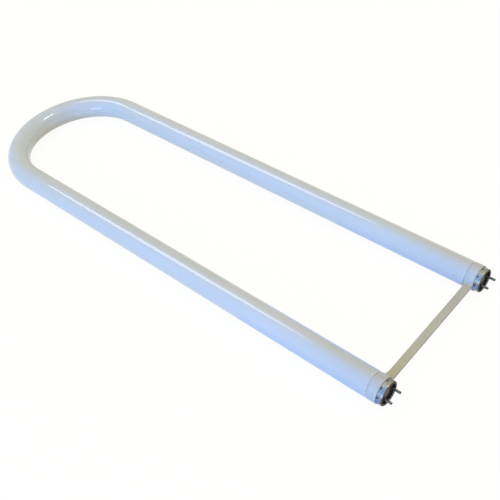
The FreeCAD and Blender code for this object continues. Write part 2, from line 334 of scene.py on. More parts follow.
# %% [markdown]
# The pieces are modelled as by hand: a primitive is added, shaped in edit mode, and finished
# with modifiers. An operator works on all that is selected, and without a window nobody can
# click, so these helpers choose the objects and the vertices by name and by place.

# %% Helpers for selecting
def only(*pieces):
    """Select these objects and nothing else. The first one becomes active."""
    bpy.ops.object.select_all(action="DESELECT")
    for piece in pieces:
        piece.select_set(True)
    bpy.context.view_layer.objects.active = pieces[0]


def pick(piece, wanted):
    """In edit mode, select the vertices whose place passes the test."""
    bpy.ops.mesh.select_mode(type="VERT")
    bpy.ops.mesh.select_all(action="DESELECT")
    mesh = bmesh.from_edit_mesh(piece.data)
    for vertex in mesh.verts:
        if wanted(vertex.co):
            vertex.select_set(True)
    mesh.select_flush_mode()
    bmesh.update_edit_mesh(piece.data)


print("selection helpers ready")

# %% [markdown]
# Every piece ends alike. Its seams are welded, its faces are turned outwards, and its surface
# is shaded smooth up to an angle past which an edge stays sharp. Modifiers are applied, so
# that the mesh is what is seen, and a copy gets a mesh of its own.

# %% Helpers for finished meshes
WELD = 0.002 * MM


def close_mesh(sharp_from):
    """Weld the seams, turn all faces outwards, leave edit mode and shade the surface smooth."""
    bpy.ops.mesh.select_all(action="SELECT")
    bpy.ops.mesh.remove_doubles(threshold=WELD)
    bpy.ops.mesh.normals_make_consistent(inside=False)
    bpy.ops.object.mode_set(mode="OBJECT")
    bpy.ops.object.shade_smooth_by_angle(angle=math.radians(sharp_from))


def apply_modifier(piece, kind, **settings):
    """Add a modifier with these settings and make its result the mesh."""
    only(piece)
    modifier = piece.modifiers.new(kind.lower(), kind)
    for key, value in settings.items():
        setattr(modifier, key, value)
    bpy.ops.object.modifier_apply(modifier=modifier.name)


def separate_copy(piece, name, shift_y):
    """A copy with its own mesh, moved across to another leg or pin."""
    only(piece)
    bpy.ops.object.duplicate()
    copy = bpy.context.object
    copy.name = name
    copy.location.y += shift_y
    bpy.ops.object.transform_apply(location=True, rotation=True, scale=True)
    return copy


print("mesh helpers ready")

# %% [markdown]
# Most of this lamp is round. A round piece starts as one circle about the axis of its leg,
# and its outline is followed by extruding that ring again and again: each step moves it
# along and scales it to the next radius. The outline is a list of (x, radius) pairs, and a
# rounded corner in it is a short arc of pairs.

# %% Helpers for round pieces
def arc(centre_x, centre_r, radius, start, end, steps):
    """Pairs along an arc of an outline. The angles are in degrees, 90 is away from the axis."""
    pairs = []
    for step in range(steps + 1):
        angle = math.radians(start + (end - start) * step / steps)
        pairs.append((centre_x + radius * math.cos(angle), centre_r + radius * math.sin(angle)))
    return pairs


def first_ring(name, x, radius, axis_y, vertices):
    """A circle about an axis that lies along X. Leaves it in edit mode, all selected."""
    bpy.ops.object.select_all(action="DESELECT")
    bpy.ops.mesh.primitive_circle_add(
        vertices=vertices, radius=radius,
        location=(x, axis_y, AXIS_Z), rotation=(0, math.pi / 2, 0),
    )
    piece = bpy.context.object
    piece.name = name
    bpy.ops.object.transform_apply(location=True, rotation=True, scale=True)
    bpy.ops.object.mode_set(mode="EDIT")
    bpy.ops.mesh.select_all(action="SELECT")
    return piece


def follow(outline, axis_y):
    """Extrude the selected ring from the first pair of the outline to each one after it."""
    for (old_x, old_r), (x, radius) in zip(outline, outline[1:]):
        bpy.ops.mesh.extrude_region_move(TRANSFORM_OT_translate={"value": (x - old_x, 0, 0)})
        grow = radius / old_r
        bpy.ops.transform.resize(value=(1, grow, grow), center_override=(x, axis_y, AXIS_Z))


def turned_piece(name, outline, axis_y, vertices, sharp_from=35):
    """A round piece whose outline comes back to its start."""
    piece = first_ring(name, *outline[0], axis_y, vertices)
    follow(outline + outline[:1], axis_y)
    close_mesh(sharp_from)
    print(name, len(piece.data.polygons), "faces")
    return piece


# %% [markdown]
# The lamp's tube is one length of glass whose ends were worked in a flame. Beside the collar
# the glass is drawn in to a neck. Under the cap it rounds over at its end and runs back
# inside as the cone of the stem, with the short stalk that the air was pumped out through.
# All of that is round about the leg, so one outline holds it.

# %% Outline of a leg
NECK_R = 11.0 * MM
NECK_X = COLLAR_BACK_X - 0.1 * MM
SHOULDER_LENGTH = 2.4 * MM
GLASS_END_X = INSULATOR_BACK_X - 3.0 * MM
STEM_MOUTH_R = 7.6 * MM
STEM_LENGTH = 24.0 * MM
STEM_PRESS_R = 5.2 * MM
STALK_R = 2.1 * MM
STALK_TIP_X = GLASS_END_X + 1.2 * MM
LEG_STEPS = 28


def leg_outline():
    """Outline of a leg from the bend to the tip of the stalk."""
    start_x = NECK_X - SHOULDER_LENGTH
    leg = start_x - BEND_X
    run = [(BEND_X + leg * step / LEG_STEPS, TUBE_R) for step in range(LEG_STEPS)]
    drop = TUBE_R - NECK_R
    curve = (SHOULDER_LENGTH ** 2 + drop ** 2) / (4 * drop)
    tilt = math.degrees(math.asin(SHOULDER_LENGTH / 2 / curve))
    shoulder = arc(start_x, TUBE_R - curve, curve, 90, 90 - tilt, 5)
    shoulder += arc(NECK_X, NECK_R + curve, curve, 270 - tilt, 270, 5)[1:]
    lip = (NECK_R - STEM_MOUTH_R) / 2
    end = arc(GLASS_END_X - lip, NECK_R - lip, lip, 90, -90, 12)
    press_x = GLASS_END_X - STEM_LENGTH
    stem = [(press_x, STEM_PRESS_R), (press_x, STALK_R)]
    stalk = arc(STALK_TIP_X - STALK_R, 0.0, STALK_R, 90, 0, 6)
    return run + shoulder + end + stem + stalk


print("leg outline", len(leg_outline()), "rings")

# %% [markdown]
# The middle of the glass was heated soft and bent round a form, which gives an exact half
# circle. So the model starts with a circle at the top of the bend and spins it through a
# quarter turn. Then the straight leg is pulled out of it, and the whole is mirrored.

# %% Glass tube
GLASS_VERTICES = 144
BEND_STEPS = 72

bpy.ops.object.select_all(action="DESELECT")
bpy.ops.mesh.primitive_circle_add(
    vertices=GLASS_VERTICES, radius=TUBE_R,
    location=(BEND_X - LEG_Y, 0, AXIS_Z), rotation=(math.pi / 2, 0, 0),
)
tube = bpy.context.object
tube.name = "glass_tube_dressed"
bpy.ops.object.transform_apply(location=True, rotation=True, scale=True)
bpy.ops.object.mode_set(mode="EDIT")
bpy.ops.mesh.select_all(action="SELECT")
bpy.ops.mesh.spin(
    steps=BEND_STEPS, angle=math.pi / 2, center=(BEND_X, 0, AXIS_Z), axis=(0, 0, 1),
)
follow(leg_outline(), LEG_Y)
bpy.ops.object.mode_set(mode="OBJECT")
apply_modifier(
    tube, "MIRROR", use_axis=(False, True, False), use_mirror_merge=True, merge_threshold=WELD,
)
bpy.ops.object.mode_set(mode="EDIT")
close_mesh(50)
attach(tube, "root")
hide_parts("glass_tube")
print("tube", len(tube.data.polygons), "faces")

# %% [markdown]
# Each cap is a cup drawn from thin aluminium sheet, with its rim turned in over the
# insulator. Only the outer surface is modelled, as one ring that follows the outline of the
# cup, and the Solidify modifier gives it its wall at the end. The rings lie close together
# where the dents come.

# %% Cap shell before its dents
SHELL_WALL = 0.35 * MM
SHELL_CORNER = 1.0 * MM
LIP_R = 9.525 * MM
LIP_CORNER = 0.6 * MM
DENT_REACH = 0.9 * MM
ROW_AT_DENTS = 0.125 * MM
ROW_BEHIND = 1.2 * MM
SHELL_VERTICES = 288
DENT_X = INSULATOR_BACK_X - DENT_REACH


def shell_outline():
    """Outline of the outside of a cap, from its open back edge to the end of its lip."""
    back = [(SHELL_BACK_X + row * ROW_BEHIND, SHELL_R) for row in range(7)]
    dent_zone = [(DENT_X + row * ROW_AT_DENTS, SHELL_R) for row in range(-9, 10)]
    corner = arc(RIM_X - SHELL_CORNER, SHELL_R - SHELL_CORNER, SHELL_CORNER, 90, 0, 10)
    lip = arc(RIM_X - LIP_CORNER, LIP_R + LIP_CORNER, LIP_CORNER, 0, -90, 8)
    return back + dent_zone + corner + lip + [(FACE_X, LIP_R)]


outline = shell_outline()
left_shell = first_ring("left_cap_shell_dressed", *outline[0], LEG_Y, SHELL_VERTICES)
follow(outline, LEG_Y)
bpy.ops.mesh.select_all(action="SELECT")
bpy.ops.mesh.normals_make_consistent(inside=False)
bpy.ops.object.mode_set(mode="OBJECT")
right_shell = separate_copy(left_shell, "right_cap_shell_dressed", -2 * LEG_Y)
print("cap shell", len(left_shell.data.polygons), "faces before its wall")

# %% [markdown]
# Eight dents are pressed through each cap from outside and hold the insulator against the
# rim. A press tool pushes in the middle of a dent and drags the metal round it along, which
# is what proportional editing does: the few vertices under the tool move, and their
# neighbours follow less and less.

# %% Press the dents
DENT_COUNT = 8
DENT_DEPTH = 0.4 * MM
DENT_SPREAD = 1.4 * MM
TOOL_REACH = (0.08 * MM, 0.4 * MM)
DENT_START = {"left": 36.0, "right": 27.0}


def press_dents(piece, leg_y, start):
    only(piece)
    bpy.ops.object.mode_set(mode="EDIT")
    for number in range(DENT_COUNT):
        angle = math.radians(start + number * 360 / DENT_COUNT)
        outward = Vector((0, math.cos(angle), math.sin(angle)))
        around = Vector((0, -math.sin(angle), math.cos(angle)))
        middle = Vector((DENT_X, leg_y, AXIS_Z)) + outward * SHELL_R

        def under_tool(place):
            offset = place - middle
            on_row = abs(offset.x) < TOOL_REACH[0] and abs(offset.dot(outward)) < TOOL_REACH[1]
            return on_row and abs(offset.dot(around)) < DENT_SPREAD / 2

        pick(piece, under_tool)
        bpy.ops.transform.translate(
            value=-outward * DENT_DEPTH, use_proportional_edit=True,
            proportional_edit_falloff="SMOOTH", proportional_size=DENT_REACH,
            use_proportional_connected=True,
        )
    bpy.ops.object.mode_set(mode="OBJECT")


for side, shell in (("left", left_shell), ("right", right_shell)):
    press_dents(shell, LEGS[side], DENT_START[side])
    apply_modifier(shell, "SOLIDIFY", thickness=SHELL_WALL, offset=-1.0, use_even_offset=True)
    bpy.ops.object.shade_smooth_by_angle(angle=math.radians(45))
    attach(shell, "root")
    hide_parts(side + "_cap_shell")
    print(shell.name, len(shell.data.polygons), "faces")

# %% [markdown]
# The brace is moulded in one piece: two collars and the flat bar between them. One half is
# modelled and mirrored. The collar is a turned ring with rounded edges.

# %% Collar of the brace
COLLAR_EDGE = 0.3 * MM
COLLAR_VERTICES = 192
COLLAR_INNER_R = SHELL_R + 0.05 * MM

collar_outline = [(COLLAR_BACK_X, COLLAR_INNER_R)]
edge_r = COLLAR_R - COLLAR_EDGE
collar_outline += arc(COLLAR_BACK_X + COLLAR_EDGE, edge_r, COLLAR_EDGE, 180, 90, 4)
collar_outline += arc(COLLAR_FRONT_X - COLLAR_EDGE, edge_r, COLLAR_EDGE, 90, 0, 4)
collar_outline += [(COLLAR_FRONT_X, COLLAR_INNER_R)]
brace = turned_piece("spacer_brace_dressed", collar_outline, LEG_Y, COLLAR_VERTICES)

# %% [markdown]
# Half of the bar starts as a block, from the middle of the brace to where its flare begins.
# Its front edge is in line with the front of the collar.

# %% Block of the bar
BAR_WIDTH = 7.3 * MM
BAR_THICKNESS = 2.4 * MM
FLARE_LENGTH = 8.0 * MM

bar_back_x = COLLAR_FRONT_X - BAR_WIDTH
flare_start_y = LEG_Y - COLLAR_R - FLARE_LENGTH
bar_end_y = LEG_Y - COLLAR_R
bpy.ops.object.select_all(action="DESELECT")
bpy.ops.mesh.primitive_cube_add(
    size=1, location=((bar_back_x + COLLAR_FRONT_X) / 2, flare_start_y / 2, AXIS_Z),
    scale=(BAR_WIDTH, flare_start_y, BAR_THICKNESS),
)
bar = bpy.context.object
bar.name = "brace_bar"
bpy.ops.object.transform_apply(location=True, rotation=True, scale=True)
print("bar block", [round(size / MM, 2) for size in bar.dimensions], "mm")

# %% [markdown]
# The end face of the block is extruded towards the collar in steps. On the way the back edge
# flares, and in the last millimetre the bar thickens into the collar, as a moulded corner
# does. The last step goes a little into the collar, which the weld needs.

# %% Flare of the bar
FLARE_DEPTH = 1.6 * MM
ROOT_FILLET = 0.8 * MM
TOUCH = 0.01 * MM


def end_face(place):
    return place.y > reached - TOUCH


bpy.ops.object.mode_set(mode="EDIT")
reached = flare_start_y
flare_curve = (FLARE_LENGTH ** 2 + FLARE_DEPTH ** 2) / (2 * FLARE_DEPTH)
stops_mm = [1.0, 2.0, 3.0, 4.0, 5.0, 6.0, 7.0, 7.2, 7.4, 7.6, 7.8, 8.0, 8.45]
back_x = bar_back_x
half = BAR_THICKNESS / 2
for stop in stops_mm:
    pick(bar, end_face)
    along = flare_start_y + stop * MM - reached
    bpy.ops.mesh.extrude_region_move(TRANSFORM_OT_translate={"value": (0, along, 0)})
    reached += along
    run = min(stop * MM, FLARE_LENGTH)
    new_back_x = bar_back_x - flare_curve + math.sqrt(flare_curve ** 2 - run ** 2)
    to_root = min(max(bar_end_y - reached, 0.0), ROOT_FILLET)
    rise = ROOT_FILLET - math.sqrt(ROOT_FILLET ** 2 - (ROOT_FILLET - to_root) ** 2)
    new_half = BAR_THICKNESS / 2 + rise
    bpy.ops.transform.resize(value=(1, 1, new_half / half), center_override=(0, 0, AXIS_Z))
    half = new_half
    pick(bar, lambda place: end_face(place) and place.x < back_x + TOUCH)
    bpy.ops.transform.translate(value=(new_back_x - back_x, 0, 0))
    back_x = new_back_x
print("bar reaches", round(reached / MM, 2), "mm from the middle")

# %% [markdown]
# A moulded edge is never sharp. The long edges are the ones that run along Y between two
# faces with a steep angle, and a bevel rounds them.

# %% Long edges of the bar
BAR_EDGE = 0.4 * MM

mesh = bmesh.from_edit_mesh(bar.data)
bpy.ops.mesh.select_all(action="DESELECT")
bpy.ops.mesh.select_mode(type="EDGE")
for edge in mesh.edges:
    run = edge.verts[1].co - edge.verts[0].co
    edge.select_set(abs(run.y) > 0.05 * MM and edge.calc_face_angle() > math.radians(60))
bmesh.update_edit_mesh(bar.data)
bpy.ops.mesh.bevel(offset=BAR_EDGE, segments=4, affect="EDGES", clamp_overlap=False)
bpy.ops.object.mode_set(mode="OBJECT")
print("half bar", len(bar.data.polygons), "faces")

# %% [markdown]
# A Boolean union welds the bar to the collar. The face in the middle of the brace comes off,
# and the Mirror modifier makes the other half and welds the seam.

# %% Weld and mirror the brace
SEAM_WELD = 0.005 * MM

apply_modifier(brace, "BOOLEAN", operation="UNION", object=bar, solver="EXACT")
bpy.data.objects.remove(bar)
only(brace)
bpy.ops.object.mode_set(mode="EDIT")
pick(brace, lambda place: place.y < TOUCH)
bpy.ops.mesh.delete(type="ONLY_FACE")
bpy.ops.object.mode_set(mode="OBJECT")
apply_modifier(
    brace, "MIRROR", use_axis=(False, True, False), use_mirror_merge=True,
    merge_threshold=SEAM_WELD,
)
bpy.ops.object.mode_set(mode="EDIT")
close_mesh(35)
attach(brace, "root")
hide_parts("spacer_brace")
print("brace", len(brace.data.polygons), "faces")

# %% [markdown]
# A contact pin is a short brass tube: a flange behind the insulator, a shoulder through it,
# and a rounded nose that the lead wire comes up to. One pin is turned and copied to the
# other three places.

# %% Contact pins
PIN_SPACING = 12.7 * MM
PIN_R = 1.18 * MM
PIN_BORE_R = 0.75 * MM
PIN_FLANGE_R = 1.9 * MM
PIN_SHOULDER_R = 1.4 * MM
PIN_NOSE = 0.8 * MM
NOSE_HOLE_R = 0.32 * MM
EDGE_BREAK = 0.1 * MM
SHOULDER_STANDS = 0.3 * MM
PIN_VERTICES = 56

pin_low, pin_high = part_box("left_outer_pin")
pin_back_x = pin_low.x
pin_tip_x = pin_high.x
shoulder_x = FACE_X + SHOULDER_STANDS
nose_x = pin_tip_x - PIN_NOSE

pin_outline = [(pin_back_x, PIN_BORE_R), (pin_back_x, PIN_FLANGE_R)]
pin_outline += [(INSULATOR_BACK_X, PIN_FLANGE_R), (INSULATOR_BACK_X, PIN_SHOULDER_R)]
pin_outline += arc(shoulder_x - EDGE_BREAK, PIN_SHOULDER_R - EDGE_BREAK, EDGE_BREAK, 90, 0, 3)
pin_outline += [(shoulder_x, PIN_R)]
pin_outline += arc(nose_x, PIN_R - PIN_NOSE, PIN_NOSE, 90, 0, 9)
pin_outline += [(pin_tip_x, NOSE_HOLE_R), (nose_x, NOSE_HOLE_R), (nose_x, PIN_BORE_R)]
pin_y = LEG_Y + PIN_SPACING / 2
first_pin = turned_piece("left_outer_pin_dressed", pin_outline, pin_y, PIN_VERTICES)
pins = {
    "left_outer_pin": first_pin,
    "left_inner_pin": separate_copy(first_pin, "left_inner_pin_dressed", -PIN_SPACING),
    "right_inner_pin": separate_copy(first_pin, "right_inner_pin_dressed", -2 * LEG_Y),
    "right_outer_pin": separate_copy(first_pin, "right_outer_pin_dressed", -2 * pin_y),
}
for node_name, pin in pins.items():
    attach(pin, "root")
    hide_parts(node_name)

# %% [markdown]
# Three effects come back in several finishes: the grain of a moulded or baked surface, the
# fine rings that a drawing die or a lathe leaves, and the dust and scratches of handling.
# Each is built once as a node group with named inputs and outputs. A group only gives values
# that change over the surface. Every place is read from Object coordinates, so a pattern
# stays on its piece from any side.

# %% Helpers for node groups
def new_group(name, inputs, outputs):
    """A shader group whose sockets are all values. inputs gives each default."""
    tree = bpy.data.node_groups.new(name, "ShaderNodeTree")
    sockets = tree.interface
    for label, default in inputs.items():
        socket = sockets.new_socket(name=label, in_out="INPUT", socket_type="NodeSocketFloat")
        socket.default_value = default
    for label in outputs:
        sockets.new_socket(name=label, in_out="OUTPUT", socket_type="NodeSocketFloat")
    given = tree.nodes.new("NodeGroupInput").outputs
    made = tree.nodes.new("NodeGroupOutput").inputs
    return tree, given, made


def use_group(tree, group, **inputs):
    """What a group gives when its inputs have these values."""
    return add(tree, "ShaderNodeGroup", {"node_tree": group}, **inputs).outputs


print("group helpers ready")

# %% [markdown]
# A pattern starts from where a place is, which way the surface faces there, or how strong a
# noise is. These helpers give each a short name, so that a finish reads like a recipe.

# %% Helpers for places
def object_place(tree):
    """Object coordinates, which stay with the piece."""
    return add(tree, "ShaderNodeTexCoord").outputs["Object"]


def split(tree, vector):
    """The X, Y and Z of a vector."""
    return add(tree, "ShaderNodeSeparateXYZ", Vector=vector).outputs


def facing(tree):
    """The direction that the surface faces, as X, Y and Z."""
    return split(tree, add(tree, "ShaderNodeNewGeometry").outputs["Normal"])


def mapped(tree, place, **change):
    """A place that is turned by Rotation or stretched by Scale."""
    return add(tree, "ShaderNodeMapping", Vector=place, **change).outputs[0]


def noise(tree, place, scale, detail, roughness=0.5):
    settings = {"Vector": place, "Scale": scale, "Detail": detail, "Roughness": roughness}
    return add(tree, "ShaderNodeTexNoise", **settings).outputs["Fac"]


print("place helpers ready")

# %% [markdown]
# A mask picks a range of such a value: it is 0 where an effect is absent and 1 where it is
# full. Masks are multiplied where both have to hold, and a mask can also be laid out between
# two other values, such as the least and the most roughness.

# %% Helpers for masks
def times(tree, first, second):
    return math_node(tree, "MULTIPLY", first, second)


def band(tree, value, low, high):
    """Mask that rises smoothly from 0 at low to 1 at high."""
    limits = {"Value": value, "From_Min": low, "From_Max": high}
    smooth = {"interpolation_type": "SMOOTHSTEP"}
    return add(tree, "ShaderNodeMapRange", smooth, **limits).outputs["Result"]


def spread(tree, value, low, high):
    """A 0 to 1 value laid out between low and high."""
    limits = {"Value": value, "To_Min": low, "To_Max": high}
    return add(tree, "ShaderNodeMapRange", **limits).outputs["Result"]


print("mask helpers ready")

# %% [markdown]
# The caps, pins and discs are round about the axis of their leg, so their painted shade and
# their rings follow the distance from that axis. The sign of Y is dropped, which gives both legs
# the same distances, and an offset moves the axis from the leg to a pin beside it. The painted
# shade is heavier at the bottom, and a mask for the low side says how much of it a place gets.

# %% Helpers for round masks
def from_axis(tree, parts, offset=0.0):
    """Distance of a place from the axis of its leg, or of a pin that stands beside it."""
    from_leg = math_node(tree, "SUBTRACT", math_node(tree, "ABSOLUTE", parts["Y"]), LEG_Y)
    across = math_node(tree, "SUBTRACT", math_node(tree, "ABSOLUTE", from_leg), offset)
    up = math_node(tree, "SUBTRACT", parts["Z"], AXIS_Z)
    squares = math_node(tree, "ADD", times(tree, across, across), times(tree, up, up))
    return math_node(tree, "SQRT", squares)


def painted_shade_low_side(tree, parts):
    """Weight of the painted shade: 1 in the lower part of a cap and a tenth of that at the top."""
    return spread(tree, band(tree, parts["Z"], AXIS_Z + 4.0 * MM, AXIS_Z - 2.0 * MM), 0.1, 1.0)


print("round masks ready")

# %% [markdown]
# Moulded plastic, pressed board and baked cement all have a grain. Two layers of noise make
# it: a fine one, and a coarse one that shades the surface in soft patches.

# %% Grain group
def grain_group():
    tree, given, made = new_group(
        "moulded_grain", {"Grains per Metre": 2500.0, "Patches per Metre": 120.0},
        ["Grain", "Patches"],
    )
    place = object_place(tree)
    fine = noise(tree, place, given["Grains per Metre"], 3.0, 0.6)
    soft = noise(tree, place, given["Patches per Metre"], 3.0, 0.55)
    wire(tree, band(tree, fine, 0.3, 0.7), made["Grain"])
    wire(tree, band(tree, soft, 0.3, 0.7), made["Patches"])
    return tree


grain = grain_group()
print("group", grain.name, [item.name for item in grain.interface.items_tree])

# %% [markdown]
# The rings on drawn and turned metal run round the axis of the piece. On the wall they
# follow X and on the flat end they follow the radius, so one number, X less the radius,
# draws both with a one-dimensional noise.

# %% Ring group
def ring_group():
    tree, given, made = new_group(
        "turned_rings", {"Rings per Metre": 9000.0, "Axis Offset": 0.0}, ["Rings", "Blur"],
    )
    place = object_place(tree)
    parts = split(tree, place)
    radius = from_axis(tree, parts, given["Axis Offset"])
    count = times(tree, math_node(tree, "SUBTRACT", parts["X"], radius), given["Rings per Metre"])
    one_way = {"noise_dimensions": "1D"}
    lines = add(tree, "ShaderNodeTexNoise", one_way, W=count, Scale=1.0, Detail=2.0).outputs["Fac"]
    wire(tree, band(tree, lines, 0.3, 0.7), made["Rings"])
    wire(tree, band(tree, noise(tree, place, 260.0, 3.0), 0.35, 0.7), made["Blur"])
    return tree


rings = ring_group()
print("group", rings.name, [item.name for item in rings.interface.items_tree])

# %% [markdown]
# Handling leaves specks of dust, mostly on what faces up, and hairline scratches. The specks
# are the small cores of Voronoi cells, kept only where a slow noise allows them. A scratch is
# the crest of a noise that is stretched to forty times its width, which leaves short
# straight hairs.

# %% Handling group
def handling_group():
    tree, given, made = new_group(
        "handling_marks", {"Specks per Metre": 320.0, "Scratches per Metre": 1800.0},
        ["Dust", "Scratches"],
    )
    place = object_place(tree)
    cells = add(tree, "ShaderNodeTexVoronoi", Vector=place, Scale=given["Specks per Metre"])
    core = band(tree, cells.outputs["Distance"], 0.16, 0.05)
    where = noise(tree, place, 45.0, 2.0)
    upward = band(tree, facing(tree)["Z"], -0.3, 0.9)
    some = times(tree, band(tree, where, 0.48, 0.62), upward)
    wire(tree, times(tree, core, some), made["Dust"])
    turned = mapped(tree, place, Rotation=(0.5, 0.9, 0.35))
    stretched = mapped(tree, turned, Scale=(0.025, 1.0, 1.0))
    hair = band(tree, noise(tree, stretched, given["Scratches per Metre"], 0.0), 0.79, 0.84)
    wire(tree, times(tree, hair, band(tree, where, 0.45, 0.6)), made["Scratches"])
    return tree


handling = handling_group()
print("group", handling.name, [item.name for item in handling.interface.items_tree])

# %% [markdown]
# Every finish ends alike: a Principled shader gets its colour, its roughness and its relief,
# and goes to the output of the material. Most colours are laid over each other as paint is,
# each where its mask is and only up to its share.

# %% Helpers for finishes
def cover(tree, base, colour, mask, share):
    """The base with another colour over it where the mask is, at most by that share."""
    return mix_colour(tree, times(tree, mask, share), base, colour)


def relief(tree, height, strength, depth):
    return add(tree, "ShaderNodeBump", Height=height, Strength=strength, Distance=depth).outputs[0]


def principled(tree, output, **inputs):
    shader = add(tree, "ShaderNodeBsdfPrincipled", **inputs)
    wire(tree, shader.outputs[0], output.inputs["Surface"])


print("finish helpers ready")

# %% [markdown]
# The first finish is the tube. Its wall is clear, polished glass, and a white powder coats
# the inside of it. From outside that is a soft white surface under a clear glossy skin, which
# is what the coat of the Principled shader stands for. The powder was poured in as a slurry
# and drained, so long faint drifts run along the tube, and it is a little greyer towards the
# caps, where the electrodes are. On the shoulder beside each collar the colour is painted
# lighter: a painted light that fills the shade of the groove there.

# %% Coated glass
COATING = (0.70, 0.74, 0.79)
COATING_THIN = (0.66, 0.70, 0.745)
COATING_AT_CAPS = (0.61, 0.655, 0.70)
SHOULDER_PAINTED_LIGHT = (0.86, 0.89, 0.92)
GLASS_DUST = (0.55, 0.53, 0.48)
GREY_LENGTH = 120.0 * MM


def coated_glass():
    material, tree, output = new_material("coated_glass")
    place = object_place(tree)
    along = split(tree, place)["X"]
    drift = band(tree, noise(tree, mapped(tree, place, Scale=(9, 70, 70)), 1.0, 4.0), 0.3, 0.7)
    cloud = noise(tree, place, 900.0, 2.0)
    thin = math_node(tree, "ADD", times(tree, drift, 0.75), times(tree, cloud, 0.25))
    powder = mix_colour(tree, thin, COATING_THIN, COATING)
    near_cap = band(tree, along, COLLAR_BACK_X - GREY_LENGTH, COLLAR_BACK_X)
    powder = cover(tree, powder, COATING_AT_CAPS, near_cap, 0.9)
    # Painted light: the shoulder is painted lighter, so the shade in its groove doesn't show.
    shoulder = band(tree, along, NECK_X - SHOULDER_LENGTH, NECK_X - SHOULDER_LENGTH / 2)
    powder = cover(tree, powder, SHOULDER_PAINTED_LIGHT, shoulder, 0.9)
    marks = use_group(tree, handling, Specks_per_Metre=260.0, Scratches_per_Metre=500.0)
    powder = cover(tree, powder, GLASS_DUST, marks["Dust"], 0.35)
    rubbed = math_node(tree, "MAXIMUM", marks["Dust"], times(tree, marks["Scratches"], 0.4))
    wave = noise(tree, place, 22.0, 1.0)
    principled(
        tree, output, Base_Color=powder, Roughness=0.6, Specular_IOR_Level=0.2,
        Coat_Weight=spread(tree, rubbed, 1.0, 0.8), Coat_Roughness=0.05, Coat_IOR=1.5,
        Coat_Tint=(0.93, 0.955, 0.94, 1.0), Normal=relief(tree, wave, 0.25, 0.3 * MM),
    )
    return material


print("recipe", coated_glass.__name__)

# %% [markdown]
# The brace is cream plastic. It is moulded in a tool with a spark-eroded face, which leaves
# a fine even grain, and the two halves of the tool meet in the plane of the lamp, where a
# hair of material stands up as the parting line. The bar is yellower near one leg and
# greyer near the other, as the photograph has it. The thin collars are painted paler and
# bluer, a painted light like the blue light on the glass beside them. The faces turned to +X
# are painted darker, a painted shade for the dimmer light from that side.

# %% Brace plastic
CREAM = (0.53, 0.54, 0.39)
CREAM_GREY = (0.53, 0.53, 0.46)
CREAM_PAINTED_LIGHT = (0.555, 0.61, 0.64)
CREAM_PATCHES_AND_PAINTED_SHADE = (0.45, 0.43, 0.37)
CREAM_WORN = (0.38, 0.35, 0.28)
COLOUR_CHANGE_Y = 50.0 * MM


def brace_plastic():
    material, tree, output = new_material("brace_plastic")
    parts = split(tree, object_place(tree))
    across = band(tree, parts["Y"], -COLOUR_CHANGE_Y, COLOUR_CHANGE_Y)
    cream = mix_colour(tree, across, CREAM, CREAM_GREY)
    from_middle = math_node(tree, "ABSOLUTE", parts["Y"])
    # Painted light: the collars are painted paler and bluer.
    thin = band(tree, from_middle, bar_end_y - 4.0 * MM, bar_end_y + 2.0 * MM)
    cream = mix_colour(tree, thin, cream, CREAM_PAINTED_LIGHT)
    texture = use_group(tree, grain, Grains_per_Metre=3200.0, Patches_per_Metre=90.0)
    cream = cover(tree, cream, CREAM_PATCHES_AND_PAINTED_SHADE, texture["Patches"], 0.3)
    # Painted shade: the faces turned towards +X are painted darker.
    cream = cover(tree, cream, CREAM_PATCHES_AND_PAINTED_SHADE, band(tree, facing(tree)["X"], 0.3, 0.8), 0.8)
    marks = use_group(tree, handling, Specks_per_Metre=420.0, Scratches_per_Metre=1800.0)
    worn = math_node(tree, "MAXIMUM", marks["Dust"], marks["Scratches"])
    cream = cover(tree, cream, CREAM_WORN, worn, 0.3)
    height = math_node(tree, "ABSOLUTE", math_node(tree, "SUBTRACT", parts["Z"], AXIS_Z))
    parting = band(tree, height, 0.09 * MM, 0.02 * MM)
    raised = math_node(tree, "ADD", times(tree, texture["Grain"], 0.25), parting)
    principled(
        tree, output, Base_Color=cream, Roughness=spread(tree, texture["Patches"], 0.42, 0.55),
        Specular_IOR_Level=0.45, Sheen_Weight=0.06, Normal=relief(tree, raised, 0.6, 0.06 * MM),
    )
    return material


print("recipe", brace_plastic.__name__)

# %% [markdown]
# A cap is painted dark in its pressed dents and inside its rim, a painted shade for these hollows.
# A mask finds each place by its distance from the axis, and by X, since the rounded front
# edge is as near to the axis as a dent is.

# %% Where a cap gets its painted shade
def dent_mask(tree, parts, radius):
    """1 in the pressed dents."""
    sunk = band(tree, radius, SHELL_R - 0.01 * MM, SHELL_R - 0.15 * MM)
    return times(tree, sunk, band(tree, parts["X"], DENT_X + 1.3 * MM, DENT_X + 0.9 * MM))


def painted_shade_in_mouth(tree, parts, radius):
    """Painted shade: 1 on the inner wall of the rim, less at its top."""
    inner = band(tree, radius, LIP_R + 0.45 * MM, LIP_R + 0.1 * MM)
    deep = band(tree, parts["X"], RIM_X - 0.6 * MM, RIM_X - 1.3 * MM)
    return times(tree, times(tree, inner, deep), painted_shade_low_side(tree, parts))


print("masks", dent_mask.__name__, painted_shade_in_mouth.__name__)

# %% [markdown]
# The caps are aluminium that has dulled with age. The drawing die leaves fine rings round
# them, which are both relief and a change in gloss. The metal is duller still in patches, its
# top is painted darker as a painted shade, and scratches cross it.

# %% Cap metal
ALUMINIUM = (0.42, 0.405, 0.33)
ALUMINIUM_DULL_AND_PAINTED_SHADE = (0.31, 0.30, 0.235)
DUST_AND_PAINTED_SHADE = (0.06, 0.055, 0.04)


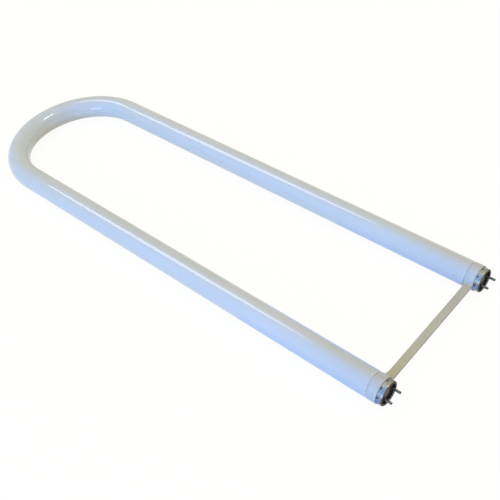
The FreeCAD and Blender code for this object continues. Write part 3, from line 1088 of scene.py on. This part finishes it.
def cap_metal():
    material, tree, output = new_material("cap_metal")
    parts = split(tree, object_place(tree))
    radius = from_axis(tree, parts)
    dent = dent_mask(tree, parts, radius)
    texture = use_group(tree, rings, Rings_per_Metre=5200.0)
    marks = use_group(tree, handling, Specks_per_Metre=700.0, Scratches_per_Metre=3200.0)
    # Painted shade: the top of the cap is painted darker.
    painted_shade_on_top = times(tree, band(tree, facing(tree)["Z"], 0.2, 0.9), 0.7)
    dull_and_painted_shade = math_node(tree, "MAXIMUM", texture["Blur"], painted_shade_on_top)
    metal = mix_colour(tree, dull_and_painted_shade, ALUMINIUM, ALUMINIUM_DULL_AND_PAINTED_SHADE)
    # Painted shade in the dents and inside the rim; the dust specks below are real dust.
    metal = cover(tree, metal, DUST_AND_PAINTED_SHADE, dent, 0.9)
    metal = cover(tree, metal, DUST_AND_PAINTED_SHADE, painted_shade_in_mouth(tree, parts, radius), 0.95)
    metal = cover(tree, metal, DUST_AND_PAINTED_SHADE, marks["Dust"], 0.5)
    gloss = spread(tree, texture["Rings"], 0.24, 0.34)
    for dulled, share in ((dent, 0.2), (texture["Blur"], 0.1)):
        gloss = math_node(tree, "ADD", gloss, times(tree, dulled, share))
    cut = math_node(tree, "SUBTRACT", texture["Rings"], times(tree, marks["Scratches"], 1.5))
    principled(
        tree, output, Base_Color=metal, Metallic=1.0, Roughness=gloss,
        Normal=relief(tree, cut, 0.35, 0.012 * MM),
    )
    return material


print("recipe", cap_metal.__name__)

# %% [markdown]
# The pins are brass with a dull olive plating. They are turned, so they have rings too, and
# the plating has worn through to the yellow brass in small patches near the nose, where a
# lamp holder's contacts rub.

# %% Pin metal
PLATING = (0.185, 0.175, 0.12)
PLATING_DARK = (0.11, 0.10, 0.07)
BRASS = (0.34, 0.28, 0.15)


def pin_metal():
    material, tree, output = new_material("pin_metal")
    parts = split(tree, object_place(tree))
    texture = use_group(tree, rings, Rings_per_Metre=8000.0, Axis_Offset=PIN_SPACING / 2)
    marks = use_group(tree, handling, Specks_per_Metre=900.0, Scratches_per_Metre=4500.0)
    plating = mix_colour(tree, texture["Blur"], PLATING, PLATING_DARK)
    nose = band(tree, parts["X"], pin_tip_x - 3.5 * MM, pin_tip_x - 0.5 * MM)
    plating = cover(tree, plating, BRASS, times(tree, texture["Blur"], nose), 0.6)
    cut = math_node(tree, "SUBTRACT", texture["Rings"], marks["Scratches"])
    principled(
        tree, output, Base_Color=plating, Metallic=1.0,
        Roughness=spread(tree, texture["Rings"], 0.30, 0.42),
        Normal=relief(tree, cut, 0.3, 0.01 * MM),
    )
    return material


print("recipe", pin_metal.__name__)

# %% [markdown]
# The lead wires were pulled through a die, so their marks run lengthwise. They stay nodes of
# the frame, and so do the insulators and the cement: their forms are plain, and their looks
# come from the finish.

# %% Lead wire
NICKEL = (0.46, 0.44, 0.40)
NICKEL_BRIGHT = (0.64, 0.61, 0.56)


def lead_wire():
    material, tree, output = new_material("lead_wire")
    along = mapped(tree, object_place(tree), Scale=(400, 9000, 9000))
    lines = band(tree, noise(tree, along, 1.0, 3.0), 0.3, 0.7)
    principled(
        tree, output, Base_Color=mix_colour(tree, lines, NICKEL, NICKEL_BRIGHT), Metallic=1.0,
        Roughness=spread(tree, lines, 0.3, 0.45), Normal=relief(tree, lines, 0.4, 0.008 * MM),
    )
    return material


print("recipe", lead_wire.__name__)

# %% [markdown]
# The insulator is a disc punched from tan resin board. Paper fibres show in the resin as
# short lighter flecks, and its face is matt with a little grain. The corner between the board
# and the rim is painted dark, a painted shade, heaviest at the bottom.

# %% Insulator board
BOARD = (0.27, 0.245, 0.185)
BOARD_FLECK = (0.37, 0.34, 0.27)
BOARD_PAINTED_SHADE = (0.045, 0.04, 0.03)


def insulator_board():
    material, tree, output = new_material("insulator_board")
    place = object_place(tree)
    parts = split(tree, place)
    texture = use_group(tree, grain, Grains_per_Metre=5200.0, Patches_per_Metre=380.0)
    fibres = mapped(tree, place, Scale=(2600, 1100, 4200), Rotation=(0.6, 0, 0))
    flecks = band(tree, noise(tree, fibres, 1.0, 2.0), 0.56, 0.68)
    board = cover(tree, BOARD, BOARD_FLECK, texture["Patches"], 0.35)
    board = cover(tree, board, BOARD_FLECK, flecks, 0.4)
    # Painted shade in the corner next to the rim, heavier at the bottom.
    corner = band(tree, from_axis(tree, parts), 2.0 * MM, 5.5 * MM)
    board = cover(tree, board, BOARD_PAINTED_SHADE, times(tree, corner, painted_shade_low_side(tree, parts)), 0.95)
    principled(
        tree, output, Base_Color=board, Roughness=spread(tree, texture["Patches"], 0.68, 0.85),
        Specular_IOR_Level=0.15, Normal=relief(tree, texture["Grain"], 0.4, 0.02 * MM),
    )
    return material


print("recipe", insulator_board.__name__)

# %% [markdown]
# The basing cement is a resin paste full of stone dust, baked hard. It is dull and tan, with
# coarse lumps and darker pores.

# %% Basing cement
CEMENT = (0.58, 0.45, 0.32)
CEMENT_PORE = (0.44, 0.33, 0.23)
CEMENT_LUMP = (0.68, 0.57, 0.44)


def basing_cement():
    material, tree, output = new_material("basing_cement")
    texture = use_group(tree, grain, Grains_per_Metre=1600.0, Patches_per_Metre=420.0)
    paste = mix_colour(tree, texture["Patches"], CEMENT, CEMENT_PORE)
    paste = cover(tree, paste, CEMENT_LUMP, texture["Grain"], 0.3)
    principled(
        tree, output, Base_Color=paste, Roughness=spread(tree, texture["Patches"], 0.85, 0.95),
        Normal=relief(tree, texture["Grain"], 0.7, 0.12 * MM),
    )
    return material


print("recipe", basing_cement.__name__)

# %% [markdown]
# Each finish is made once and goes on its pieces: the new ones, and the nodes of the frame
# that they replace or that stay as they are. The end of a node's name says what it is.

# %% Put the finishes on
finishes = {
    "glass_tube": coated_glass(),
    "spacer_brace": brace_plastic(),
    "cap_shell": cap_metal(),
    "insulator": insulator_board(),
    "pin": pin_metal(),
    "lead": lead_wire(),
    "cement_ring": basing_cement(),
}
new_pieces = {piece.name: piece for piece in (tube, brace, left_shell, right_shell, *pins.values())}
for name, piece in {**frame["nodes"], **new_pieces}.items():
    kind = next(key for key in finishes if name.removesuffix("_dressed").endswith(key))
    piece.data.materials.clear()
    piece.data.materials.append(finishes[kind])
    print(name, "in", finishes[kind].name)
